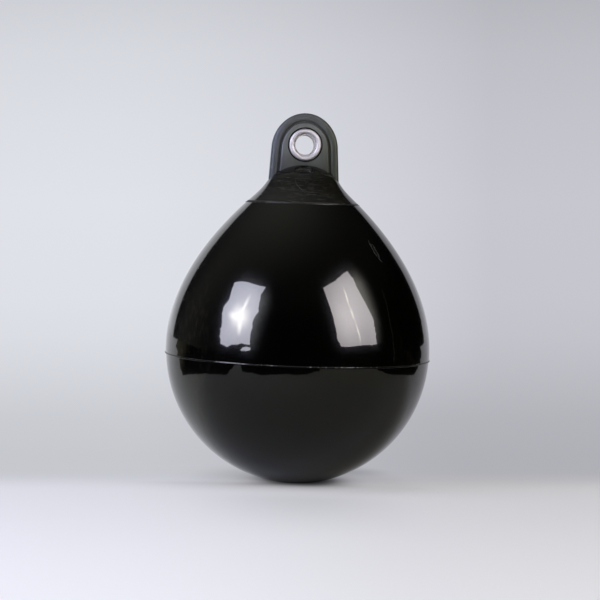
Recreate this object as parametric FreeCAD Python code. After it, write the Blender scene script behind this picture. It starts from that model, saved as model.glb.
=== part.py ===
import FreeCAD, Part
import math
import os

# A round mooring buoy in black vinyl: a hollow pear-shaped float with a moulding
# line round its girth, a black eye cap fused into the neck, a dark grey lug that
# stands in the cap, a stainless bush in the lug's eye, and the air valve beside it.
# The buoy stands on the small flat that its own weight presses into the ball.
# The eye's bore runs along Y and the valve is on the front, towards -Y.

# Float: the bowl under the moulding line is a little slimmer and deeper than a ball
girth_radius = 150.8
bowl_radius = 150.4
bowl_depth = 152.05
foot_radius = 22.0
wall = 3.2
neck_radius = 65.0
neck_z = 318.0
neck_slope_deg = 44.0
neck_ledge = 1.5
neck_edge_round = 0.7
flank_rise = 57.0
flank_reach = 77.0
neck_bore_radius = 54.0
neck_shoulder_z = 305.0

# Moulding line round the girth, a little under the widest place
flash_drop = 6.8
flash_half_width = 1.0
flash_height = 0.9
flash_tip = 0.35

# Eye cap: it carries on the slope of the flank, steepens, and closes over in a dome
cap_edge_height = 0.5
cap_foot_slope_deg = 43.5
cap_shoulder_radius = 40.7
cap_shoulder_z = 343.0
cap_shoulder_slope_deg = 58.0
cap_flare_low_reach = 11.5
cap_flare_high_reach = 12.0
cap_dome_reach = 15.0
cap_top_z = 362.4
cap_top_reach = 16.0
spigot_bottom_z = 301.0

# Faint ring moulded on the front of the cap
mark_radius = 18.6
mark_width = 1.0
mark_height = 0.5
mark_turn_deg = 10.0
mark_seat_radius = 37.9
mark_z = 344.0
mark_tilt_deg = 20.0

# Lug: an arch a little taller than a half circle, with sides that flare downwards
lug_half_width = 37.5
lug_arch_height = 41.1
lug_arch_z = 378.75
lug_flare_deg = 3.5
lug_root_z = 324.0
bead_width = 9.4
bead_half_thickness = 11.5
bead_round = 4.0
core_half_thickness = 9.4
pad_inset = 11.0
pad_half_thickness = 12.5
pad_round = 1.8
seat_radius = 19.2
seat_depth = 1.2

# Eye bush
eye_z = 384.0
eye_radius = 11.1
bush_wall = 1.6
flange_radius = 18.1
flange_edge = 1.0
flange_rise = 3.0
tube_stand = 1.1
tube_end_round = 0.3
crease_in = 0.8
crease_out = 1.2
crease_depth = 0.5

# Air valve, on a spot face cut into the dome in front of the lug
valve_x = -1.1
valve_y = -24.3
valve_z = 352.5
valve_tilt_deg = 20.0
spot_radius = 10.8
spot_reach = 20.0
seat_flange_radius = 10.6
seat_flange_height = 1.6
seat_flange_round = 0.7
seat_cup_radius = 9.2
seat_cup_depth = 4.0
seat_stem_radius = 6.5
seat_stem_depth = 11.0
plug_head_radius = 7.6
plug_head_height = 2.4
plug_head_sink = 0.2
plug_head_gap = 0.4
plug_head_round = 0.6
plug_shank_radius = 4.4
plug_shank_gap = 0.1
plug_slot_width = 1.8
plug_slot_depth = 1.4
air_way_radius = 2.2

# The bowl is cut where its chord is as wide as the foot, which sets the girth's height.
girth_z = bowl_depth * math.sqrt(1 - (foot_radius / bowl_radius)**2)
flash_z = girth_z - flash_drop
Z_AXIS = FreeCAD.Vector(0, 0, 1)
ORIGIN = FreeCAD.Vector(0, 0, 0)
SAME = 1e-6


def pt(r, z):
    """A point of a turned outline: radius and height."""
    return FreeCAD.Vector(r, 0, z)


def toward(angle_deg, length):
    """A step towards the axis and up, at a slope from the horizontal."""
    a = math.radians(angle_deg)
    return FreeCAD.Vector(-length * math.cos(a), 0, length * math.sin(a))


def line(a, b):
    return Part.LineSegment(a, b).toShape()


def arc(a, mid, b):
    return Part.Arc(a, mid, b).toShape()


def cubic(a, b, c, d):
    curve = Part.BezierCurve()
    curve.setPoles([a, b, c, d])
    return curve.toShape()


def turned(edges):
    """A solid turned about the buoy's upright axis."""
    face = Part.Face(Part.Wire(edges))
    return face.revolve(ORIGIN, Z_AXIS, 360)


def bowl(thickness, low_z, high_z):
    """The lower half's outline, a quarter ellipse moved in by the wall's thickness."""
    depth = bowl_depth - thickness
    middle = pt(0, girth_z)
    side = pt(bowl_radius - thickness, girth_z)
    ellipse = Part.Ellipse(pt(0, girth_z - depth), side, middle)
    start = math.acos((girth_z - low_z) / depth)
    end = math.acos((girth_z - high_z) / depth)
    return Part.ArcOfEllipse(ellipse, start, end).toShape()


def ends(edge):
    """The two ends of an edge, the lower one first."""
    points = [vertex.Point for vertex in edge.Vertexes]
    return sorted(points, key=lambda point: point.z)


def flank(radius, top):
    """The pear-shaped flank from the girth up to the neck."""
    rise = flank_rise * radius / girth_radius
    reach = flank_reach * radius / girth_radius
    girth = pt(radius, girth_z)
    return cubic(girth, pt(radius, girth_z + rise), top - toward(neck_slope_deg, reach), top)


def body_outside():
    skin = bowl(0, 0, flash_z - flash_half_width)
    foot, low = ends(skin)
    tip = bowl_radius + flash_height
    tip_low = pt(tip, flash_z - flash_tip)
    tip_high = pt(tip, flash_z + flash_tip)
    high = pt(girth_radius, flash_z + flash_half_width)
    girth = pt(girth_radius, girth_z)
    lip = pt(neck_radius, neck_z - neck_edge_round)
    lip_bend = neck_edge_round * (1 - math.sqrt(0.5))
    lip_mid = pt(neck_radius - lip_bend, neck_z - lip_bend)
    lip_in = pt(neck_radius - neck_edge_round, neck_z)
    edges = [
        line(pt(0, 0), foot),
        skin,
        line(low, tip_low),
        line(tip_low, tip_high),
        line(tip_high, high),
        line(high, girth),
        flank(girth_radius, lip),
        arc(lip, lip_mid, lip_in),
        line(lip_in, pt(0, neck_z)),
        line(pt(0, neck_z), pt(0, 0)),
    ]
    return turned(edges)


def body_inside():
    """The air space, up to the shoulder under the thick neck ring."""
    a = math.radians(neck_slope_deg)
    neck_in = pt(neck_radius - wall * math.sin(a), neck_z - wall * math.cos(a))
    skin = bowl(wall, wall, girth_z)
    foot, girth = ends(skin)
    edges = [
        line(pt(0, wall), foot),
        skin,
        flank(girth.x, neck_in),
        line(neck_in, pt(0, neck_in.z)),
        line(pt(0, neck_in.z), pt(0, wall)),
    ]
    space = turned(edges)
    above = Part.makeCylinder(2 * neck_radius, neck_z, pt(0, neck_shoulder_z))
    return space.cut(above)


def make_body():
    neck_bore = Part.makeCylinder(neck_bore_radius, neck_z, pt(0, neck_shoulder_z - wall))
    return body_outside().cut(body_inside()).cut(neck_bore)


def cap_outside(extra):
    """The bell of the cap, its skin moved out by extra."""
    edge_r = neck_radius - neck_ledge + extra
    edge_top = pt(edge_r, neck_z + cap_edge_height)
    shoulder = pt(cap_shoulder_radius + extra, cap_shoulder_z)
    top_z = cap_top_z + extra
    top = pt(0, top_z)
    flare_low = edge_top + toward(cap_foot_slope_deg, cap_flare_low_reach)
    flare_high = shoulder - toward(cap_shoulder_slope_deg, cap_flare_high_reach)
    dome_low = shoulder + toward(cap_shoulder_slope_deg, cap_dome_reach)
    edges = [
        line(pt(0, neck_z), pt(edge_r, neck_z)),
        line(pt(edge_r, neck_z), edge_top),
        cubic(edge_top, flare_low, flare_high, shoulder),
        cubic(shoulder, dome_low, pt(cap_top_reach, top_z), top),
        line(top, pt(0, neck_z)),
    ]
    return turned(edges)


def cap_mark():
    """A low ring raised on the cap, round on the slope it lies on."""
    a = math.radians(mark_tilt_deg)
    turn = math.radians(mark_turn_deg)
    side = FreeCAD.Vector(math.sin(turn), -math.cos(turn), 0)
    out = side * math.cos(a) + Z_AXIS * math.sin(a)
    base = side * mark_seat_radius + Z_AXIS * mark_z - out * mark_radius
    reach = 2 * mark_radius
    ring = Part.makeCylinder(mark_radius, reach, base, out)
    hole = Part.makeCylinder(mark_radius - mark_width, reach, base, out)
    return cap_outside(mark_height).common(ring.cut(hole))


def valve_way():
    """Where the valve sits: a spot face, a stepped hole and the way down for the air."""
    base, out = valve_seat_frame()
    spot = Part.makeCylinder(spot_radius, spot_reach, base, out)
    cup = Part.makeCylinder(seat_cup_radius, seat_cup_depth, base, -out)
    stem = Part.makeCylinder(seat_stem_radius, seat_stem_depth, base, -out)
    end = base - out * seat_stem_depth
    way_base = FreeCAD.Vector(end.x, end.y, spigot_bottom_z - wall)
    rise = end.z + air_way_radius - way_base.z
    way = Part.makeCylinder(air_way_radius, rise, way_base)
    return spot.fuse([cup, stem, way])


def make_cap(lug):
    depth = neck_z - spigot_bottom_z
    spigot = Part.makeCylinder(neck_bore_radius, depth, pt(0, spigot_bottom_z))
    bell = cap_outside(0).fuse([spigot, cap_mark()]).removeSplitter()
    return bell.cut(lug).cut(valve_way())


def lug_outline(inset, half_thickness, root_z):
    """The lug's arch, drawn inset from its edge and given a thickness along Y."""
    half_width = lug_half_width - inset
    height = lug_arch_height - inset
    flare = math.tan(math.radians(lug_flare_deg))
    tangent = math.atan(flare * height / half_width)
    side_x = half_width * math.cos(tangent)
    side_z = lug_arch_z + height * math.sin(tangent)
    root_x = side_x + (side_z - root_z) * flare
    y = -half_thickness
    left_root = FreeCAD.Vector(-root_x, y, root_z)
    right_root = FreeCAD.Vector(root_x, y, root_z)
    left = FreeCAD.Vector(-side_x, y, side_z)
    right = FreeCAD.Vector(side_x, y, side_z)
    middle = FreeCAD.Vector(0, y, lug_arch_z)
    crown = FreeCAD.Vector(0, y, lug_arch_z + height)
    widest = FreeCAD.Vector(half_width, y, lug_arch_z)
    spread = math.pi / 2 - tangent
    arch = Part.ArcOfEllipse(Part.Ellipse(crown, widest, middle), -spread, spread).toShape()
    edges = [line(left_root, left), arch, line(right, right_root), line(right_root, left_root)]
    face = Part.Face(Part.Wire(edges))
    return face.extrude(FreeCAD.Vector(0, 2 * half_thickness, 0))


def rounded(solid, radius, half_thickness):
    """Rounds the long edges that lie in the two flat sides."""
    chosen = []
    for edge in solid.Edges:
        box = edge.BoundBox
        in_side = abs(abs(box.YMin) - half_thickness) < SAME and box.YLength < SAME
        if in_side and box.ZMax > lug_arch_z:
            chosen.append(edge)
    return solid.makeFillet(radius, chosen)


def make_lug():
    outer = lug_outline(0, bead_half_thickness, lug_root_z)
    below = 2 * wall
    inner = lug_outline(bead_width, bead_half_thickness + wall, lug_root_z - below)
    bead = rounded(outer.cut(inner), bead_round, bead_half_thickness)
    core = lug_outline(bead_round, core_half_thickness, lug_root_z)
    pad = rounded(lug_outline(pad_inset, pad_half_thickness, lug_root_z), pad_round, pad_half_thickness)
    blank = core.fuse([bead, pad])
    along = FreeCAD.Vector(0, 1, 0)
    reach = 2 * pad_half_thickness
    front = FreeCAD.Vector(0, -reach, eye_z)
    hole = Part.makeCylinder(eye_radius + bush_wall, 2 * reach, front, along)
    front_seat = Part.makeCylinder(seat_radius, reach - pad_half_thickness + seat_depth, front, along)
    back = FreeCAD.Vector(0, pad_half_thickness - seat_depth, eye_z)
    back_seat = Part.makeCylinder(seat_radius, reach, back, along)
    return blank.cut([hole, front_seat, back_seat])


def make_bush():
    """The eye bush: a tube with a rounded flange at each end, and a crease between them."""
    seat = pad_half_thickness - seat_depth
    tube_r = eye_radius + bush_wall
    crown_r = (eye_radius + flange_radius) / 2
    crown = seat + flange_rise
    lip = seat + tube_stand
    crest = lip + tube_end_round
    crest_r = eye_radius + tube_end_round
    crest_out = crest_r + tube_end_round
    crease = lip - crease_depth
    crease_low = eye_radius + crease_in
    crease_high = eye_radius + crease_out

    def at(r, x):
        return FreeCAD.Vector(x, r, 0)

    edges = [line(at(eye_radius, -lip), at(eye_radius, lip)), line(at(tube_r, -seat), at(tube_r, seat))]
    for way in (-1, 1):
        rim = at(flange_radius, way * (seat + flange_edge))
        edges += [
            arc(at(eye_radius, way * lip), at(crest_r, way * crest), at(crest_out, way * lip)),
            line(at(crest_out, way * lip), at(crease_low, way * crease)),
            line(at(crease_low, way * crease), at(crease_high, way * crease)),
            arc(at(crease_high, way * crease), at(crown_r, way * crown), rim),
            line(rim, at(flange_radius, way * seat)),
            line(at(flange_radius, way * seat), at(tube_r, way * seat)),
        ]
    outline = Part.Wire(Part.sortEdges(edges)[0])
    face = Part.Face(outline)
    bush = face.revolve(ORIGIN, FreeCAD.Vector(1, 0, 0), 360)
    bush.rotate(ORIGIN, Z_AXIS, 90)
    bush.translate(pt(0, eye_z))
    return bush


def valve_seat_frame():
    """The middle of the spot face and the way it faces."""
    a = math.radians(valve_tilt_deg)
    out = FreeCAD.Vector(0, -math.sin(a), math.cos(a))
    return FreeCAD.Vector(valve_x, valve_y, valve_z), out


def on_valve(shape):
    """Moves a shape made upright at the origin onto the spot face."""
    base, out = valve_seat_frame()
    shape.rotate(ORIGIN, FreeCAD.Vector(1, 0, 0), valve_tilt_deg)
    shape.translate(base)
    return shape


def disc(radius, low_z, high_z, rim_round):
    """A round disc with its upper edge rounded."""
    blank = Part.makeCylinder(radius, high_z - low_z, pt(0, low_z))
    rim = [edge for edge in blank.Edges if abs(edge.BoundBox.ZMin - high_z) < SAME]
    return blank.makeFillet(rim_round, rim)


def make_valve_seat():
    """The stepped sleeve that lines the hole, with a low round flange."""
    flange = disc(seat_flange_radius, 0, seat_flange_height, seat_flange_round)
    cup = Part.makeCylinder(seat_cup_radius, seat_cup_depth, pt(0, -seat_cup_depth))
    stem = Part.makeCylinder(seat_stem_radius, seat_stem_depth, pt(0, -seat_stem_depth))
    room_floor = pt(0, -plug_head_sink - plug_head_height)
    head_room = Part.makeCylinder(plug_head_radius + plug_head_gap, seat_stem_depth, room_floor)
    bore_base = pt(0, -2 * seat_stem_depth)
    bore = Part.makeCylinder(plug_shank_radius + plug_shank_gap, 2 * seat_stem_depth, bore_base)
    return on_valve(flange.fuse([cup, stem]).removeSplitter().cut([head_room, bore]))


def make_valve_plug():
    """The screw plug, sunk under the flange, with a coin slot across its head."""
    top_z = -plug_head_sink
    head = disc(plug_head_radius, top_z - plug_head_height, top_z, plug_head_round)
    shank_length = seat_stem_depth - plug_head_sink - plug_head_height
    shank = Part.makeCylinder(plug_shank_radius, shank_length, pt(0, -seat_stem_depth))
    slot_length = 4 * plug_head_radius
    corner = FreeCAD.Vector(-slot_length / 2, -plug_slot_width / 2, top_z - plug_slot_depth)
    slot = Part.makeBox(slot_length, plug_slot_width, plug_head_height, corner)
    return on_valve(head.fuse(shank).removeSplitter().cut(slot))


os.makedirs("parts", exist_ok=True)
lug = make_lug()
nodes = {
    "body_shell": make_body(),
    "eye_cap": make_cap(lug),
    "eye_lug": lug,
    "eye_bush": make_bush(),
    "valve_seat": make_valve_seat(),
    "valve_plug": make_valve_plug(),
}
for name, shape in nodes.items():
    shape.exportStep("parts/" + name + ".step")
    box = shape.optimalBoundingBox(False)
    size = [round(v, 2) for v in (box.XMin, box.XMax, box.YMin, box.YMax, box.ZMin, box.ZMax)]
    print(name, shape.ShapeType, len(shape.Solids), shape.isValid(), round(shape.Volume / 1000, 1), size)
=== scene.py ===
import math

import bmesh
import bpy
from mathutils import Matrix, Vector

# A round mooring buoy: a hollow black vinyl float, an eye cap fused into its neck, a dark
# grey lug with a stainless eye bush, and an air valve in front of the lug. It stands on the
# small flat of its foot on a pale floor, lit by two soft boxes, one on each side in front.
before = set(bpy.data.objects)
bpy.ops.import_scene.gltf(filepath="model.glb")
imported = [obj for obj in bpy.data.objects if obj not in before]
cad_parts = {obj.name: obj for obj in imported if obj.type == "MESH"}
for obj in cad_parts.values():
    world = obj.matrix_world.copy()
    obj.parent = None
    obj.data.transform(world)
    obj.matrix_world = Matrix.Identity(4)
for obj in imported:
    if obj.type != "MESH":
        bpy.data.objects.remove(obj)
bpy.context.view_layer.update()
scene = bpy.context.scene
scene.view_settings.view_transform = "Standard"

# Camera: a long lens a little below the neck's height, turned slightly to the float's left
# and rolled, which leans the upright buoy to the right as in the photograph.
camera_distance = 2.055
camera_height = 0.31305
camera_side = 0.0009
camera_yaw = math.radians(3.5)
camera_pitch = math.radians(2.94)
camera_roll = math.radians(2.0)
camera_lens = 108.0
sensor = 36.0

level = Vector((math.sin(camera_yaw), math.cos(camera_yaw), 0))
right = Vector((math.cos(camera_yaw), -math.sin(camera_yaw), 0))
forward = level * math.cos(camera_pitch) - Vector((0, 0, math.sin(camera_pitch)))
upward = right.cross(forward)
camera_right = right * math.cos(camera_roll) + upward * math.sin(camera_roll)
camera_up = upward * math.cos(camera_roll) - right * math.sin(camera_roll)
camera_place = right * camera_side - level * camera_distance + Vector((0, 0, camera_height))
camera_data = bpy.data.cameras.new("camera")
camera_data.lens = camera_lens
camera_data.sensor_width = sensor
camera = bpy.data.objects.new("camera", camera_data)
camera_turn = Matrix((camera_right, camera_up, -forward)).transposed().to_4x4()
camera.matrix_world = Matrix.Translation(camera_place) @ camera_turn
scene.collection.objects.link(camera)
scene.camera = camera


# Floor: a pale table top with a soft shade under the buoy. Just behind the buoy it gives way
# to a backdrop in soft grey tones. The float's gloss also shows where the table ends, from
# 0.5 m to over a metre in front, and the dark past it.
def srgb(r, g, b):
    """A colour as seen in the picture, 0 to 255, turned into the shader's linear values."""
    def one(c):
        c = c / 255
        return c / 12.92 if c <= 0.04045 else ((c + 0.055) / 1.055) ** 2.4
    return (one(r), one(g), one(b), 1)


def grey(tone):
    return (tone, tone, tone, 1)


class Nodes:
    """A short way to write a node tree: each call adds a node and returns its output."""

    def __init__(self, tree):
        self.tree = tree
        tree.nodes.clear()

    def add(self, kind, out=0, inputs=None, **settings):
        node = self.tree.nodes.new(kind)
        for name, value in settings.items():
            setattr(node, name, value)
        for name, value in (inputs or {}).items():
            socket = node.inputs[name]
            if isinstance(value, bpy.types.NodeSocket):
                self.tree.links.new(value, socket)
            else:
                socket.default_value = value
        return node.outputs[out] if len(node.outputs) else node

    def math(self, operation, a, b=0.0):
        return self.add("ShaderNodeMath", inputs={0: a, 1: b}, operation=operation)

    def times(self, a, b):
        return self.math("MULTIPLY", a, b)

    def apart(self, a, b):
        """How far two numbers lie apart."""
        return self.math("ABSOLUTE", self.math("SUBTRACT", a, b))

    def between(self, factor, a, b):
        return self.add("ShaderNodeMix", inputs={0: factor, 2: a, 3: b})

    def smooth(self, value, low, high, to_low=0.0, to_high=1.0):
        """Eases from one number to another while the value goes from low to high."""
        inputs = {"Value": value, "From Min": low, "From Max": high,
                  "To Min": to_low, "To Max": to_high}
        return self.add("ShaderNodeMapRange", inputs=inputs, interpolation_type="SMOOTHSTEP")

    def share(self, value, low, high):
        """How far the value has come from low to high, kept within 0 and 1."""
        inputs = {"Value": value, "From Min": low, "From Max": high}
        return self.add("ShaderNodeMapRange", inputs=inputs)

    def ramp(self, value, stops):
        """A grey tone read from a list of places, 0 to 1, with the tone at each."""
        node = self.tree.nodes.new("ShaderNodeValToRGB")
        self.tree.links.new(value, node.inputs[0])
        elements = node.color_ramp.elements
        while len(elements) < len(stops):
            elements.new(0.5)
        for element, (place, tone) in zip(elements, stops):
            element.position = place
            element.color = grey(tone)
        return node.outputs[0]

    def mix(self, factor, a, b, blend="MIX"):
        inputs = {0: factor, 6: a, 7: b}
        return self.add("ShaderNodeMix", out=2, inputs=inputs, data_type="RGBA",
                        blend_type=blend)

    def tint(self, a, b):
        """One colour multiplied by another."""
        return self.mix(1.0, a, b, "MULTIPLY")

    def noise(self, vector, scale, detail=2.0, roughness=0.5):
        inputs = {"Vector": vector, "Scale": scale, "Detail": detail, "Roughness": roughness}
        return self.add("ShaderNodeTexNoise", inputs=inputs)

    def vector(self, operation, a, b=(0, 0, 0), out=0):
        return self.add("ShaderNodeVectorMath", out=out, inputs={0: a, 1: b},
                        operation=operation)

    def dot(self, a, b):
        return self.vector("DOT_PRODUCT", a, tuple(b), out=1)

    def length(self, a):
        return self.vector("LENGTH", a, out=1)

    def xyz(self, vector):
        node = self.tree.nodes.new("ShaderNodeSeparateXYZ")
        self.tree.links.new(vector, node.inputs[0])
        return node.outputs[0], node.outputs[1], node.outputs[2]

    def shader(self, factor, a, b):
        return self.add("ShaderNodeMixShader", inputs={0: factor, 1: a, 2: b})

    def glow(self, colour, strength=1.0):
        inputs = {"Color": colour, "Strength": strength}
        return self.add("ShaderNodeEmission", inputs=inputs)


def new_material(name):
    material = bpy.data.materials.new(name)
    material.use_nodes = True
    return material, Nodes(material.node_tree)


def surface(n, shader):
    n.add("ShaderNodeOutputMaterial", inputs={"Surface": shader})


def object_place(n):
    return n.add("ShaderNodeTexCoord", out=3)


def turn_from_front(n, x, y):
    """The angle round the buoy's axis from the front, in radians, more to the right."""
    return n.math("ARCTAN2", x, n.times(y, -1.0))


def by_turn(n, turn, table):
    """A value read from a table of degrees round from the front."""
    stops = [((angle + 180) / 360, value) for angle, value in table]
    return n.ramp(n.share(turn, -math.pi, math.pi), stops)


floor_reach = 9.0
floor_left = grey(0.84)
floor_right = grey(0.80)
floor_grain_scale = 700.0
floor_grain = ((0.98, 0.98, 0.975, 1), (1.0, 1.0, 0.995, 1))
# The backdrop's colours, as seen at the far left and right. Its places are slopes sideways
# and downwards from the camera's line of sight, at the camera's stand.
backdrop_left = srgb(224, 226, 233)
backdrop_right = srgb(199, 199, 207)
side_left = -0.108
side_right = 0.106
top_drop = -0.1667
fold_drop = 0.1
fold_soft = 0.0055
# High up the backdrop darkens to the right along a curve of this power, and eased at both
# ends lower down, from one of these slopes to the other.
high_power = 1.6
eased_from = (0.03, 0.065)
backdrop_tones = [(0.0, 0.83), (0.11, 0.91), (0.25, 0.96), (0.42, 1.0), (0.62, 0.985),
                  (0.7, 0.95), (0.76, 0.9), (0.87, 0.79), (0.95, 0.757), (1.0, 0.757)]
# Away from the photograph's view the camera sees one pale tone: outside this cone, past the
# fold, and this far out on the floor.
all_round = srgb(219, 220, 225)
view_outer = math.cos(math.radians(24))
view_inner = math.cos(math.radians(15))
past_fold = (0.02, 0.05)
floor_away = (0.7, 1.15)
# The share of the near floor that keeps its own tone, so that the shadows on it stay soft:
# all of it by the foot, and less from one of these distances to the other.
own_part = 0.65
own_close = (0.05, 0.12)
own_left = srgb(244, 243, 250)
own_right = srgb(232, 231, 236)
own_tones = [(0.0, 0.795), (0.11, 0.83), (0.3, 0.865), (0.6, 0.93), (1.0, 1.0)]
near_drop = 0.165
# The soft shade under the buoy, by the distance from its foot, in metres.
contact_middle = (0.008, 0.004, 0.0)
contact_reach = 0.15
contact_tones = [(0.0, 0.0), (0.16, 0.02), (0.21, 0.063), (0.26, 0.158), (0.307, 0.33),
                 (0.353, 0.468), (0.403, 0.595), (0.45, 0.675), (0.5, 0.74), (0.547, 0.79),
                 (0.6, 0.83), (0.667, 0.88), (0.767, 0.94), (0.867, 0.98), (1.0, 1.0)]
# It is drawn out so many times sideways, left and right, but only in front of the foot.
drawn_left = 1.6
drawn_right = 1.2
drawn_turns = (-0.02, 0.04)
drawn_ends = (-0.045, -0.01)
# A paler shade lies further in front, between a near and a far edge, and another one behind
# on the right.
front_shade = 0.2
front_half = 0.15
front_near = (-0.145, -0.08)
front_far = (-0.38, -0.13)
back_shade = 0.2
back_middle = (0.075, 0.08, 0.0)
back_reach = 0.055
# How the floor shows in the float's gloss: dark by the foot, brighter behind the fold, left
# and right, and with a share of its light lost in front of it.
gloss_contact = (0.027, 0.065, 0.02, 1.0)
floor_lift = (grey(1.2), grey(1.05))
gloss_loss = 0.40
# How far the table reaches from the buoy's axis, in metres, by the angle round from the
# front. Past it all is dark, but for a dim olive tone to the far left.
table_edge = [(-130, 3.0), (-126, 1.7), (-118, 0.76), (-112, 0.545), (-59, 0.525),
              (-53, 0.91), (-49, 0.84), (-45, 0.605), (-31, 0.54), (0, 0.605), (14, 0.67),
              (20, 1.2), (58, 1.2), (65, 0.775), (73, 0.685), (98, 0.695), (112, 0.75),
              (120, 1.05), (125, 1.7), (129, 3.0)]
table_longest = 3.0
edge_soft = 0.008
dim_from = math.radians(-121)
dim_to = math.radians(-107)
dim_beyond = (0.12, 0.115, 0.085, 1)
dark = grey(0)


def backdrop(n, way):
    """The backdrop's colour in a direction from the camera's stand, and its place there."""
    ahead = n.math("MAXIMUM", n.dot(way, forward), 0.05)
    side = n.math("DIVIDE", n.dot(way, camera_right), ahead)
    drop = n.math("DIVIDE", n.dot(way, -camera_up), ahead)
    high_up = n.math("POWER", n.share(side, side_left, side_right), high_power)
    low_down = n.smooth(side, side_left, side_right)
    across = n.between(n.smooth(drop, *eased_from), high_up, low_down)
    colour = n.mix(across, backdrop_left, backdrop_right)
    tone = n.ramp(n.share(drop, top_drop, fold_drop), backdrop_tones)
    return n.tint(colour, tone), across, drop


def seen_all_round(n, way, colour, drop):
    """The backdrop's colour ahead of the photograph's stand, and the pale one elsewhere."""
    ahead = n.dot(n.vector("NORMALIZE", way), forward)
    in_view = n.smooth(ahead, view_outer, view_inner)
    over_fold = n.smooth(drop, fold_drop + past_fold[0], fold_drop + past_fold[1], 1.0, 0.0)
    return n.mix(n.times(in_view, over_fold), all_round, colour)


def contact_shade(n, place_in, x, y):
    """The distance from the foot, along which the shade is drawn out, and the tone there."""
    from_foot = n.vector("SUBTRACT", place_in, contact_middle)
    drawn = n.smooth(x, *drawn_turns, 1 / drawn_left, 1 / drawn_right)
    drawn = n.between(n.smooth(y, *drawn_ends, 1.0, 0.0), 1.0, drawn)
    drawn = n.add("ShaderNodeCombineXYZ", inputs={0: drawn, 1: 1.0, 2: 0.0})
    from_foot = n.length(n.vector("MULTIPLY", from_foot, drawn))
    return from_foot, n.ramp(n.share(from_foot, 0.0, contact_reach), contact_tones)


def floor_material():
    material, n = new_material("floor")
    rays = n.tree.nodes.new("ShaderNodeLightPath")
    in_gloss = rays.outputs["Is Glossy Ray"]
    in_camera = rays.outputs["Is Camera Ray"]
    place_in = object_place(n)
    x, y, _ = n.xyz(place_in)
    from_middle = n.length(place_in)
    from_foot, contact = contact_shade(n, place_in, x, y)
    way = n.vector("SUBTRACT", place_in, tuple(camera_place))
    far_colour, across, drop = backdrop(n, way)

    # Behind the fold the floor shows the backdrop's tones.
    from_back = n.length(n.vector("SUBTRACT", place_in, back_middle))
    shaded = n.times(contact, n.smooth(from_back, 0.0, back_reach, 1 - back_shade, 1.0))
    seen = n.tint(seen_all_round(n, way, far_colour, drop), shaded)
    lifted = n.tint(far_colour, n.mix(across, *floor_lift))
    lifted = n.tint(lifted, n.smooth(from_foot, *gloss_contact))
    far = n.glow(n.mix(in_camera, lifted, seen))

    # In front of it the lamps light the floor, and the camera also sees its own tone.
    grained = n.mix(n.noise(place_in, floor_grain_scale, detail=1.0), *floor_grain)
    lit_colour = n.tint(grained, n.mix(across, floor_left, floor_right))
    near = n.add("ShaderNodeBsdfDiffuse", inputs={"Color": lit_colour})
    own_tone = n.ramp(n.share(drop, fold_drop, near_drop), own_tones)
    own_colour = n.tint(n.mix(across, own_left, own_right), own_tone)
    own_colour = n.tint(n.tint(own_colour, grained), contact)
    shade_x = n.smooth(n.math("ABSOLUTE", x), 0.0, front_half, front_shade, 0.0)
    shade_y = n.times(n.smooth(y, *front_near, 1.0, 0.0), n.smooth(y, *front_far))
    own = n.glow(own_colour, n.math("SUBTRACT", 1.0, n.times(shade_x, shade_y)))
    own_share = n.times(in_camera, n.smooth(from_foot, *own_close, 1.0, own_part))
    near = n.shader(own_share, near, own)

    # The float's gloss shows the near floor dimmer, and the dark where the table ends.
    kept = n.times(n.smooth(from_foot, *gloss_contact), 1 - gloss_loss)
    lost = n.times(in_gloss, n.math("SUBTRACT", 1.0, kept))
    near = n.shader(lost, near, n.glow(dark))
    behind = n.smooth(drop, fold_drop - fold_soft, fold_drop + fold_soft, 1.0, 0.0)
    away = n.times(n.smooth(from_middle, *floor_away), in_camera)
    table = n.shader(n.math("MAXIMUM", behind, away), near, far)
    turn = turn_from_front(n, x, y)
    reach = by_turn(n, turn, [(angle, out / table_longest) for angle, out in table_edge])
    over = n.math("SUBTRACT", n.share(from_middle, 0.0, table_longest), reach)
    past_edge = n.times(n.smooth(over, 0.0, edge_soft), in_gloss)
    beyond = n.glow(n.mix(n.smooth(turn, dim_from, dim_to, 1.0, 0.0), dark, dim_beyond))
    surface(n, n.shader(past_edge, table, beyond))
    return material


floor_mesh = bpy.data.meshes.new("floor")
floor_bm = bmesh.new()
bmesh.ops.create_grid(floor_bm, x_segments=1, y_segments=1, size=floor_reach)
floor_bm.to_mesh(floor_mesh)
floor_bm.free()
floor = bpy.data.objects.new("floor", floor_mesh)
floor.data.materials.append(floor_material())
scene.collection.objects.link(floor)

# Surroundings: the camera sees the pale backdrop all round. The float's gloss shows it only
# in a round patch behind the buoy, with a dim glow overhead, stronger to the left, a dimmer
# wall on the left and dark elsewhere.
patch_turn = math.radians(1.1)
patch_middle = (math.sin(patch_turn), math.cos(patch_turn), 0.0)
patch_angle = math.radians(38.4)
patch_soft = math.radians(1.5)
patch_lift = (grey(1.4), grey(1.1))
glow_middle = (-0.2, 0.15, 0.0)
glow_spread = 0.85
glow_light = 0.25
glow_rise = (0.0, 0.4)
overhead_dim = 0.035
overhead_rise = (0.35, 0.85)
wall_light = 0.085
wall_side = (-0.9, -0.6)
wall_front = (-0.25, 0.4, 0.2, 1.0)
plain_light = (0.24, 0.24, 0.2472, 1)


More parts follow.
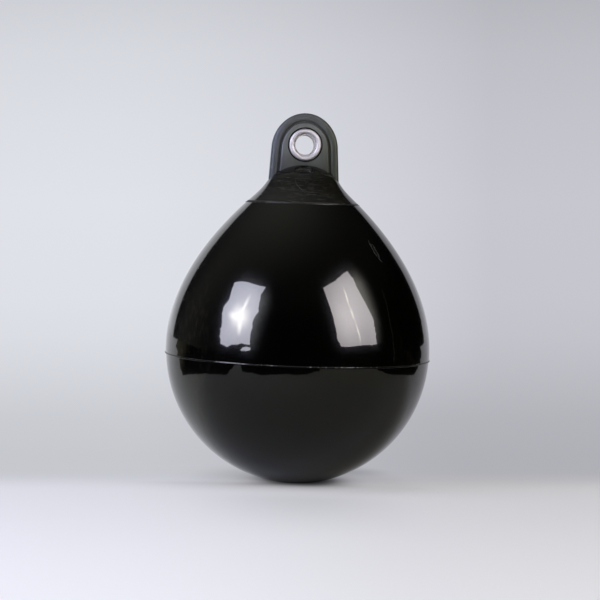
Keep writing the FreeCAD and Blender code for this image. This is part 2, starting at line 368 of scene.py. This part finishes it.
def build_surroundings():
    world = bpy.data.worlds.new("surroundings")
    world.use_nodes = True
    scene.world = world
    n = Nodes(world.node_tree)
    way = n.add("ShaderNodeTexCoord", out=0)
    x, y, z = n.xyz(way)
    pale, across, drop = backdrop(n, way)
    off_axis = n.math("ARCCOSINE", n.math("MINIMUM", n.dot(way, patch_middle), 1.0))
    in_patch = n.smooth(off_axis, patch_angle - patch_soft, patch_angle + patch_soft, 1.0, 0.0)
    aside = n.vector("MULTIPLY", n.vector("SUBTRACT", way, glow_middle), (1, 1, 0))
    light = n.smooth(n.length(aside), 0.0, glow_spread, glow_light, 0.0)
    light = n.times(light, n.smooth(z, *glow_rise))
    left_wall = n.times(n.smooth(x, *wall_side, wall_light, 0.0), n.smooth(y, *wall_front))
    dim = n.math("ADD", n.smooth(z, *overhead_rise, 0.0, overhead_dim), left_wall)
    mirrored = n.math("ADD", light, dim)
    mirrored = n.mix(in_patch, mirrored, n.tint(pale, n.mix(across, *patch_lift)))
    rays = n.tree.nodes.new("ShaderNodeLightPath")
    colour = n.mix(rays.outputs["Is Glossy Ray"], plain_light, mirrored)
    colour = n.mix(rays.outputs["Is Camera Ray"], colour, seen_all_round(n, way, pale, drop))
    background = n.add("ShaderNodeBackground", inputs={"Color": colour, "Strength": 1.0})
    n.add("ShaderNodeOutputWorld", inputs={"Surface": background})


build_surroundings()

# Soft boxes: two cloth-fronted lamps in front of the buoy, their frames bent and their cloth
# hanging unevenly: a cool one on the left with a hot core, whose lower corner is turned up,
# and a warmer one on the right with an upright lamp tube. The float mirrors their outlines.
lamp_distance = 1.3
gloss_light = 17.0
# Each lamp also spills light past its frame, on a sheet just behind the cloth, and more to
# the upper right, from one place along this slope to the other.
spill_reach = 0.95
spill_behind = 0.01
spill_slope = 0.6
spill_turns = (-0.1, 0.5)
spill_power = 3.0
# The cloth's slow unevenness and outlines, in metres, and how sharply its spots rise.
cloth_folds_scale = 3.0
spot_power = 2.0
left_cloth = [(-0.42, 0.50), (-0.26, 0.54), (0.06, 0.59), (0.33, 0.65), (0.31, 0.50),
              (0.35, 0.35), (0.39, 0.23), (0.34, 0.04), (0.38, -0.06), (0.37, -0.20),
              (0.42, -0.39), (0.21, -0.38), (0.0, -0.42), (-0.13, -0.48), (-0.31, -0.44),
              (-0.33, -0.26), (-0.35, -0.06), (-0.42, 0.10), (-0.36, 0.24), (-0.39, 0.35)]
left_corner = [(0.20, -0.53), (0.25, -0.46), (0.34, -0.43), (0.44, -0.44), (0.45, -0.50),
               (0.34, -0.53)]
right_cloth = [(-0.45, 0.58), (-0.19, 0.57), (0.23, 0.62), (0.28, 0.51), (0.29, 0.38),
               (0.32, 0.23), (0.37, 0.08), (0.44, -0.10), (0.45, -0.32), (0.49, -0.53),
               (0.03, -0.53), (-0.42, -0.52), (-0.48, -0.35), (-0.45, -0.09), (-0.45, 0.18),
               (-0.45, 0.41)]
# The hot core and the lamp tube behind the cloth: middle, half sizes and turn of each spot.
left_core = [((0.03, 0.05), (0.40, 0.32), 0.3), ((0.05, 0.21), (0.08, 0.32), 0.15),
             ((0.07, -0.08), (0.09, 0.28), -0.25), ((-0.09, 0.03), (0.28, 0.11), 0.1)]
right_tube = [((-0.03, 0.26), (0.035, 0.28), 0.08), ((-0.012, 0.02), (0.04, 0.22), -0.12),
              ((0.03, -0.28), (0.035, 0.32), -0.13)]


def spill(n, place_in, half, width, strength):
    """Light spilt past the sides of a lamp's frame on its right, fading over a width."""
    x, y, _ = n.xyz(place_in)
    over = n.vector("SUBTRACT", n.vector("ABSOLUTE", place_in), half)
    over = n.length(n.vector("MAXIMUM", over, (0, 0, 0)))
    fade = n.math("POWER", n.smooth(over, 0.0, width, 1.0, 0.0), spill_power)
    to_right = n.math("ADD", x, n.times(y, spill_slope))
    return n.mix(n.times(fade, n.smooth(to_right, *spill_turns)), dark, strength)


def spot(n, place_in, middle, size, turn=0.0):
    """A soft round or long spot of light on the cloth, 1 at its middle."""
    moved = n.vector("SUBTRACT", place_in, tuple(middle) + (0,))
    turned = n.add("ShaderNodeVectorRotate", inputs={"Vector": moved, "Angle": turn},
                   rotation_type="Z_AXIS")
    spread = n.vector("MULTIPLY", turned, (1 / size[0], 1 / size[1], 0))
    return n.math("POWER", n.smooth(n.length(spread), 0.0, 1.0, 1.0, 0.0), spot_power)


def cloth_light(n, place_in, middle, size, rim, heart, uneven, hot_spots, hot):
    """The lit cloth: dimmer to its rim, slightly uneven, and hot where the lamp is near."""
    folds = n.noise(place_in, cloth_folds_scale, detail=2.0)
    colour = n.mix(spot(n, place_in, middle, size), rim, heart)
    colour = n.tint(colour, n.mix(folds, grey(1 - uneven), grey(1 + uneven)))
    for place, spread, turn in hot_spots:
        colour = n.mix(spot(n, place_in, place, spread, turn), colour, hot)
    return colour


def soft_box(name, azimuth, elevation, faces_point, cloths, light, glowing, spilt):
    """A lamp whose cloth outlines lie in a plane square to its direction from the float."""
    a, e = math.radians(azimuth), math.radians(elevation)
    out = Vector((math.sin(a) * math.cos(e), -math.cos(a) * math.cos(e), math.sin(e)))
    across = Vector((math.cos(a), math.sin(a), 0))
    up = out.cross(across)
    mesh = bpy.data.meshes.new(name)
    bm = bmesh.new()
    for cloth in cloths:
        bm.faces.new([bm.verts.new((x, y, 0)) for x, y in cloth])
    bmesh.ops.triangulate(bm, faces=bm.faces[:])
    behind = bmesh.ops.create_grid(bm, x_segments=1, y_segments=1, size=spill_reach,
                                   matrix=Matrix.Translation((0, 0, -spill_behind)))
    for face in bm.faces:
        face.material_index = int(all(corner in behind["verts"] for corner in face.verts))
    bm.to_mesh(mesh)
    bm.free()
    lamp = bpy.data.objects.new(name, mesh)
    axes = Matrix((across, up, across.cross(up))).transposed().to_4x4()
    lamp.matrix_world = Matrix.Translation(Vector(faces_point) + out * lamp_distance) @ axes
    material, n = new_material(name)
    rays = n.tree.nodes.new("ShaderNodeLightPath")
    strength = n.mix(rays.outputs["Is Glossy Ray"], light, grey(gloss_light))
    surface(n, n.glow(n.tint(cloth_light(n, object_place(n), **glowing), strength)))
    lamp.data.materials.append(material)
    material, n = new_material(name + "_spill")
    in_gloss = n.tree.nodes.new("ShaderNodeLightPath").outputs["Is Glossy Ray"]
    tone = spill(n, object_place(n), **spilt)
    spilling = n.glow(tone, n.times(in_gloss, gloss_light))
    clear = n.add("ShaderNodeBsdfTransparent")
    surface(n, n.add("ShaderNodeAddShader", inputs={0: spilling, 1: clear}))
    lamp.data.materials.append(material)
    lamp.visible_camera = False
    scene.collection.objects.link(lamp)


soft_box("left_soft_box", azimuth=-61.0, elevation=21.0, faces_point=(-0.070, -0.125, 0.195),
         cloths=[left_cloth, left_corner], light=(8.8, 9.1, 9.3, 1),
         glowing=dict(middle=(0.02, 0.05), size=(0.8, 0.85), rim=(0.55, 0.565, 0.81, 1),
                      heart=(0.79, 0.81, 1.1, 1), uneven=0.05, hot_spots=left_core,
                      hot=(1.6, 1.6, 1.94, 1)),
         spilt=dict(half=(0.31, 0.36, 0.0), width=0.55, strength=(0.12, 0.125, 0.155, 1)))
soft_box("right_soft_box", azimuth=50.0, elevation=27.0, faces_point=(0.045, -0.130, 0.205),
         cloths=[right_cloth], light=(4.1, 4.1, 2.55, 1),
         glowing=dict(middle=(-0.14, 0.0), size=(0.8, 0.95), rim=(0.45, 0.425, 0.53, 1),
                      heart=(0.82, 0.78, 0.95, 1), uneven=0.04, hot_spots=right_tube,
                      hot=(1.3, 1.27, 1.37, 1)),
         spilt=dict(half=(0.32, 0.36, 0.0), width=0.5, strength=(0.15, 0.15, 0.155, 1)))

# Float: gloss black vinyl, one hollow moulding with a raised moulding line round its girth.
# Its skin is slightly uneven, most of all along that line, with a thin haze on the gloss.
# Dust lies on the flanks, salt and dirt cling to the line, and the neck's lip has gone dull.
# At the line's sides painted shade darkens its flecks, and a thin upright line on the right
# flank is a painted reflection of a light stand.
vinyl_index = 1.45
skin_tint = (1.0, 0.98, 0.79, 1)
skin_colours = ((0.0004, 0.0004, 0.0003, 1), (0.0009, 0.0009, 0.0007, 1))
skin_rough = (0.02, 0.045)
cloud_scale = 14.0
# Where a noise pattern is read from: nearly its whole range, or only its middle.
whole_range = (0.3, 0.7)
middle_range = (0.4, 0.6)
haze_weight = 0.15
haze_rough = 0.2
girth_z = 0.1436
neck_lip = 0.3174
lip_soft = 0.0006
lip_rough = (0.35, 0.8)
# The scale and the height, in metres, of the broad swells, fine dimples and ripples, how
# much the swells are packed and the ripples drawn out upwards, and how far from the line
# the ripples reach.
swell_scale, swell_height, swell_packed = 9.0, 0.0002, 1.3
dimple_scale, dimple_height = 55.0, 0.00002
ripple_scale, ripple_height, ripple_drawn = 75.0, 0.00012, 0.6
ripple_reach = 0.03
# Dust: fine specks, drawn out upwards, in patches far out on the sides.
dust_colour = (0.0055, 0.0047, 0.0033, 1)
dust_scale, dust_drawn = 240.0, 0.5
dust_specks = (0.48, 0.66)
dust_patches = (0.42, 0.62)
dusty_side = (0.08, 0.12)
# Thin lines on the right flank: the angle round from the front at their top and foot, the
# heights of both ends, their half width and how far they stray, in degrees, and their colour.
# The first two are marks on the skin. The third, long and upright, is a painted reflection
# of a light stand.
flank_marks_and_reflection = [(44.3, 44.7, 0.279, 0.262, 0.45, 4.5, (0.050, 0.051, 0.052, 1)),
               (46.1, 46.4, 0.275, 0.256, 0.5, 4.5, (0.045, 0.046, 0.048, 1)),
               (39.0, 41.0, 0.2265, 0.149, 0.38, 2.0, (0.0085, 0.008, 0.0072, 1))]
mark_end = 0.001
mark_core = 0.3
stray_scale, stray_drawn = 220.0, 0.3
# The small shelf over the line, its film of dirt, its salt in front, the painted shade that
# darkens its flecks at the sides, and how much of it clings there, by the angle round from
# the front.
line_shelf = 0.1443
shelf_half = 0.0007
shelf_core = 0.6
shelf_ragged = 1.5
crust_scale = 420.0
crust_rough = 0.5
salt_catches = (0.76, 0.88)
dirt_helps = 0.5
film_colour = (0.012, 0.012, 0.011, 1)
salt_colour = (0.17, 0.17, 0.165, 1)
side_shade_colour = (0.008, 0.008, 0.007, 1)
line_sides = (math.radians(55), math.radians(63))
line_dirt = [(-180, 0.4), (-90, 0.9), (-66, 0.9), (-59, 0.3), (-52, 0.1), (-45, 0.1),
             (-40, 0.35), (-36, 0.9), (-32, 1.0), (-27, 0.75), (-21, 0.4), (-14, 0.5),
             (-9, 0.15), (-3, 0.3), (4, 0.45), (10, 0.4), (18, 0.6), (26, 0.4), (35, 0.12),
             (45, 0.05), (51, 0.2), (57, 0.5), (61, 0.9), (90, 0.9), (180, 0.4)]


def stretched(n, place_in, x, y, z):
    """The place with each axis scaled, so that a pattern on it is drawn out or packed."""
    return n.vector("MULTIPLY", place_in, (x, y, z))


def relief(n, pattern, height, onto=None):
    """Bumps of a height in metres from a pattern, laid on the bumps made before them."""
    inputs = {"Height": pattern, "Strength": 1.0, "Distance": height}
    if onto:
        inputs["Normal"] = onto
    return n.add("ShaderNodeBump", inputs=inputs)


def skin(n, colour, roughness, bumps, **fixed):
    """A shader with a colour, roughness and bumps that vary, and numbers that are fixed."""
    shader = n.tree.nodes.new("ShaderNodeBsdfPrincipled")
    for name, value in fixed.items():
        shader.inputs[name.replace("_", " ")].default_value = value
    n.tree.links.new(colour, shader.inputs["Base Color"])
    n.tree.links.new(roughness, shader.inputs["Roughness"])
    n.tree.links.new(bumps, shader.inputs["Normal"])
    surface(n, shader.outputs[0])
    return shader


def with_marks_and_reflection(n, colour, place_in, turn, z):
    """The colour with the thin marks and the painted reflection on it, each wandering between its
    two ends.
    """
    wander = stretched(n, place_in, stray_drawn, stray_drawn, 1.0)
    wander = n.noise(wander, stray_scale, detail=2.0)
    wander = n.math("SUBTRACT", wander, 0.5)
    for top_turn, foot_turn, top, foot, half, strays, tone in flank_marks_and_reflection:
        half = math.radians(half)
        lies = n.times(n.share(z, foot, top), math.radians(top_turn - foot_turn))
        lies = n.math("ADD", lies, math.radians(foot_turn))
        off = n.math("SUBTRACT", n.math("SUBTRACT", turn, lies),
                     n.times(wander, math.radians(strays)))
        on_mark = n.smooth(n.math("ABSOLUTE", off), half * mark_core, half, 1.0, 0.0)
        ends = n.times(n.smooth(z, foot - mark_end, foot + mark_end),
                       n.smooth(z, top, top + mark_end, 1.0, 0.0))
        colour = n.mix(n.times(on_mark, ends), colour, tone)
    return colour


def float_material():
    material, n = new_material("float_vinyl")
    place_in = object_place(n)
    x, y, z = n.xyz(place_in)
    turn = turn_from_front(n, x, y)
    swell = n.noise(stretched(n, place_in, 1.0, 1.0, swell_packed), swell_scale, detail=1.0)
    dimple = n.noise(place_in, dimple_scale, detail=2.0)
    ripple = stretched(n, place_in, 1.0, 1.0, ripple_drawn)
    ripple = n.noise(ripple, ripple_scale, detail=2.0)
    ripple = n.times(ripple, n.smooth(n.apart(z, girth_z), 0.0, ripple_reach, 1.0, 0.0))
    bumps = relief(n, swell, swell_height)
    bumps = relief(n, dimple, dimple_height, bumps)
    bumps = relief(n, ripple, ripple_height, bumps)

    # Black, with dust on the flanks, and on the right one the thin marks and the painted
    # reflection of a light stand.
    cloud = n.noise(place_in, cloud_scale, detail=4.0)
    colour = n.mix(cloud, *skin_colours)
    speck = n.noise(stretched(n, place_in, 1.0, 1.0, dust_drawn), dust_scale, detail=3.0)
    on_flank = n.times(n.smooth(n.math("ABSOLUTE", x), *dusty_side),
                       n.smooth(cloud, *dust_patches))
    dusty = n.times(n.smooth(speck, *dust_specks), on_flank)
    colour = n.mix(dusty, colour, dust_colour)
    colour = with_marks_and_reflection(n, colour, place_in, turn, z)

    # Film and salt on the ragged shelf over the line, with painted shade darkening its flecks at
    # the sides.
    clings = by_turn(n, turn, line_dirt)
    crust = n.noise(place_in, crust_scale, detail=3.0)
    ragged = n.times(n.math("SUBTRACT", crust, 0.5), shelf_half * shelf_ragged)
    ragged = n.math("ADD", n.apart(z, line_shelf), ragged)
    on_line = n.smooth(ragged, shelf_half * shelf_core, shelf_half, 1.0, 0.0)
    caught = n.smooth(n.math("ADD", crust, n.times(clings, dirt_helps)), *salt_catches)
    # At the sides the flecks are painted dark: painted shade.
    at_side = n.smooth(n.math("ABSOLUTE", turn), *line_sides)
    salt_and_side_shade = n.mix(at_side, salt_colour, side_shade_colour)
    colour = n.mix(on_line, colour, n.mix(caught, film_colour, salt_and_side_shade))

    # Gloss, but dull on the crust and on the neck's lip.
    crusted = n.times(n.times(on_line, clings), crust_rough)
    at_neck = n.smooth(z, neck_lip - lip_soft, neck_lip)
    on_lip = n.times(at_neck, n.smooth(cloud, *middle_range, *lip_rough))
    dulled = n.math("MAXIMUM", crusted, on_lip)
    rough = n.math("MAXIMUM", dulled, n.smooth(cloud, *whole_range, *skin_rough))
    shader = skin(n, colour, rough, bumps, IOR=vinyl_index, Specular_Tint=skin_tint,
                  Coat_Weight=haze_weight, Coat_Roughness=haze_rough, Coat_IOR=vinyl_index)
    n.tree.links.new(bumps, shader.inputs["Coat Normal"])
    return material


def wear(node_name, material):
    """Gives a carried-over node its finish."""
    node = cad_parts[node_name]
    node.data.materials.clear()
    node.data.materials.append(material)


wear("body_shell", float_material())

# Eye cap: black vinyl with a satin skin, faint scuffs and turned lines running round it. The
# low ring moulded on its front has a painted highlight at its lower left, and the lip over the
# float's neck is dull in places.
cap_tint = (0.84, 0.82, 0.67, 1)
cap_colours = ((0.0035, 0.0035, 0.0027, 1), (0.0065, 0.0064, 0.0052, 1))
cap_rough = (0.03, 0.06)
cap_cloud_scale = 60.0
turned_scale, turned_height, turned_packed = 16.0, 0.00012, 60.0
cap_grain_scale, cap_grain_height = 900.0, 0.00002
scuff_scale, scuff_long, scuff_thin = 150.0, 0.6, 6.0
scuffs = (0.44, 0.70)
scuff_colour = (0.026, 0.0255, 0.021, 1)
cap_lip = 0.3192
cap_lip_scale = 55.0
cap_lip_rough = (0.25, 0.7)
# The moulded ring: how far out, how high and how deep its middle lies, and its size. The
# painted highlight on its crest fades out upwards and to the right.
ring_tilt = math.radians(20.0)
ring_turn = math.radians(10.0)
ring_out = 0.0379
ring_z = 0.344
ring_depth = 0.0186
ring_radius = 0.0181
ring_half = 0.0006
ring_core = 0.5
ring_highlight_colour = (0.028, 0.027, 0.0235, 1)
ring_fades_up = (0.339, 0.347, 0.8, 0.05)
ring_fades_right = (0.008, 0.016, 1.0, 0.05)
ring_side = Vector((math.sin(ring_turn), -math.cos(ring_turn), 0))
ring_faces = tuple(ring_side * math.cos(ring_tilt) + Vector((0, 0, math.sin(ring_tilt))))
ring_seat = tuple(ring_side * ring_out + Vector((0, 0, ring_z)) - Vector(ring_faces) * ring_depth)


def cap_material():
    material, n = new_material("cap_vinyl")
    place_in = object_place(n)
    x, y, z = n.xyz(place_in)
    turned = stretched(n, place_in, 1.0, 1.0, turned_packed)
    turned = n.noise(turned, turned_scale, detail=3.0)
    grain = n.noise(place_in, cap_grain_scale, detail=2.0)
    bumps = relief(n, turned, turned_height)
    bumps = relief(n, grain, cap_grain_height, bumps)
    cloud = n.noise(place_in, cap_cloud_scale, detail=5.0)
    colour = n.mix(cloud, *cap_colours)
    scuff = stretched(n, place_in, scuff_long, scuff_long, scuff_thin)
    scuff = n.noise(scuff, scuff_scale, detail=6.0, roughness=0.7)
    colour = n.mix(n.smooth(scuff, *scuffs), colour, scuff_colour)
    # Painted highlight on the ring's crest, at its lower left.
    from_seat = n.vector("SUBTRACT", place_in, ring_seat)
    along = n.vector("MULTIPLY", n.dot(from_seat, ring_faces), ring_faces)
    from_axis = n.length(n.vector("SUBTRACT", from_seat, along))
    crest = n.apart(from_axis, ring_radius)
    crest = n.smooth(crest, ring_half * ring_core, ring_half, 1.0, 0.0)
    crest = n.times(crest, n.smooth(z, *ring_fades_up))
    crest = n.times(crest, n.smooth(x, *ring_fades_right))
    colour = n.mix(crest, colour, ring_highlight_colour)
    worn = n.noise(place_in, cap_lip_scale, detail=3.0)
    worn = n.smooth(worn, *middle_range, *cap_lip_rough)
    at_lip = n.smooth(z, cap_lip, cap_lip + lip_soft, worn, 0.0)
    rough = n.math("MAXIMUM", at_lip, n.smooth(cloud, *whole_range, *cap_rough))
    skin(n, colour, rough, bumps, IOR=vinyl_index, Specular_Tint=cap_tint)
    return material


wear("eye_cap", cap_material())

# Lug: dark grey vinyl with a matt skin, moulded into the cap. Painted light makes it paler
# higher up, cooler on its left, browner on its right and paler on the raised pad. Painted shade
# darkens the groove beside the pad and the gap round the bush's flange.
eye_z = 0.384
# The colours low and high up, the higher ones paler as painted light from above, and the
# heights between which one turns into the other.
lug_low = ((0.050, 0.0515, 0.046, 1), (0.064, 0.066, 0.059, 1))
lug_high = ((0.072, 0.074, 0.069, 1), (0.092, 0.095, 0.088, 1))
top_light_rise = (0.362, 0.392)
lug_cloud_scale = 70.0
lug_rough = (0.42, 0.52)
lug_sheen_level = 0.2
lug_grain_scale, lug_grain_height = 1200.0, 0.00003
# How far the pad's face and the groove's floor lie from the lug's middle plane, where the pad
# is painted paler by painted light, and where painted shade darkens the groove.
pad_face = 0.0125
pad_edge = (pad_face - 0.001, pad_face - 0.0003)
pad_rise = (0.354, 0.380)
pad_light = (1.52, 1.52, 1.46, 1)
groove_floor = 0.0094
groove_half = 0.001
groove_core = 0.4
groove_share = 0.42
groove_shade_colour = (0.014, 0.014, 0.0135, 1)
# The painted light on both sides, tints which set in from one place to the other, and faint
# streaks.
side_turns = (0.012, 0.034)
lug_right_light = (0.65, 0.66, 0.50, 1)
lug_left_light = (1.04, 1.07, 1.24, 1)
streak_depth = 0.14
streak_scale, streak_thin = 60.0, 5.0
# The radius of the flange's seat round the eye, up to which painted shade makes the gap black.
flange_seat = 0.0195
gap_soft = 0.0004
gap_shade_colour = (0.002, 0.002, 0.002, 1)


def lug_material():
    material, n = new_material("lug_vinyl")
    place_in = object_place(n)
    x, y, z = n.xyz(place_in)
    bumps = relief(n, n.noise(place_in, lug_grain_scale, detail=2.0), lug_grain_height)
    cloud = n.noise(place_in, lug_cloud_scale, detail=5.0)
    # Painted light from above: paler higher up.
    colour = n.mix(n.smooth(z, *top_light_rise), n.mix(cloud, *lug_low), n.mix(cloud, *lug_high))
    depth = n.math("ABSOLUTE", y)
    # Painted light: the raised pad paler, more so higher up.
    painted_paler = n.times(n.smooth(depth, *pad_edge), n.smooth(z, *pad_rise))
    colour = n.mix(painted_paler, colour, n.tint(colour, pad_light))
    # Painted shade in the groove beside the pad.
    in_groove = n.smooth(n.apart(depth, groove_floor), groove_half * groove_core,
                         groove_half, groove_share, 0.0)
    colour = n.mix(in_groove, colour, groove_shade_colour)
    # Painted light: cooler on the left, browner on the right.
    near, far = side_turns
    side_light = n.mix(n.smooth(x, near, far), grey(1), lug_right_light)
    side_light = n.mix(n.smooth(x, -far, -near, 1.0, 0.0), side_light, lug_left_light)
    colour = n.tint(colour, side_light)
    streak = stretched(n, place_in, streak_thin, streak_thin, 1.0)
    streak = n.noise(streak, streak_scale, detail=4.0)
    colour = n.tint(colour, n.mix(streak, grey(1 - streak_depth), grey(1 + streak_depth)))
    # Painted shade: the gap round the flange black.
    from_eye = n.vector("MULTIPLY", n.vector("SUBTRACT", place_in, (0, 0, eye_z)), (1, 0, 1))
    in_gap = n.smooth(n.length(from_eye), flange_seat, flange_seat + gap_soft, 1.0, 0.0)
    colour = n.mix(in_gap, colour, gap_shade_colour)
    rough = n.smooth(cloud, *whole_range, *lug_rough)
    skin(n, colour, rough, bumps, IOR=vinyl_index, Specular_IOR_Level=lug_sheen_level)
    return material


wear("eye_lug", lug_material())

# Eye bush: stainless steel, turned and dull polished. Its flanges are rolled over both faces
# of the lug and hold it in the eye.
steel_colours = ((0.46, 0.44, 0.41, 1), (0.55, 0.53, 0.495, 1))
steel_rough = (0.64, 0.72)
steel_grain_scale, steel_grain_height, steel_grain_packed = 500.0, 0.00003, 6.0


def bush_material():
    material, n = new_material("bush_steel")
    place_in = object_place(n)
    grain = stretched(n, place_in, 1.0, steel_grain_packed, 1.0)
    grain = n.noise(grain, steel_grain_scale, detail=3.0)
    bumps = relief(n, grain, steel_grain_height)
    rough = n.smooth(grain, *whole_range, *steel_rough)
    skin(n, n.mix(grain, *steel_colours), rough, bumps, Metallic=1.0)
    return material


wear("eye_bush", bush_material())

# Air valve: a moulded seat with a low round rim, bonded into the cap, and a slotted screw
# plug in it, both of black plastic. The back of the rim has a painted highlight.
valve_greys = (grey(0.0032), grey(0.0048))
valve_sheen_level = 0.2
valve_grain_scale, valve_grain_height = 800.0, 0.00002
# The painted highlight sets in from one of these places to the other, front to back.
rim_back = (-0.025, -0.019)
rim_highlight = (0.040, 0.038, 0.032, 1)


def valve_material(name, roughness, painted_paler):
    material, n = new_material(name)
    place_in = object_place(n)
    _, y, _ = n.xyz(place_in)
    grain = n.noise(place_in, valve_grain_scale, detail=2.0)
    bumps = relief(n, grain, valve_grain_height)
    colour = n.mix(grain, *valve_greys)
    # Painted highlight towards the back, as strong as the given share.
    colour = n.mix(n.smooth(y, *rim_back, 0.0, painted_paler), colour, rim_highlight)
    rough = n.smooth(grain, *whole_range, *roughness)
    skin(n, colour, rough, bumps, Specular_IOR_Level=valve_sheen_level)
    return material


wear("valve_seat", valve_material("valve_seat_plastic", roughness=(0.378, 0.462), painted_paler=1.0))
wear("valve_plug", valve_material("valve_plug_plastic", roughness=(0.405, 0.495), painted_paler=0.1))
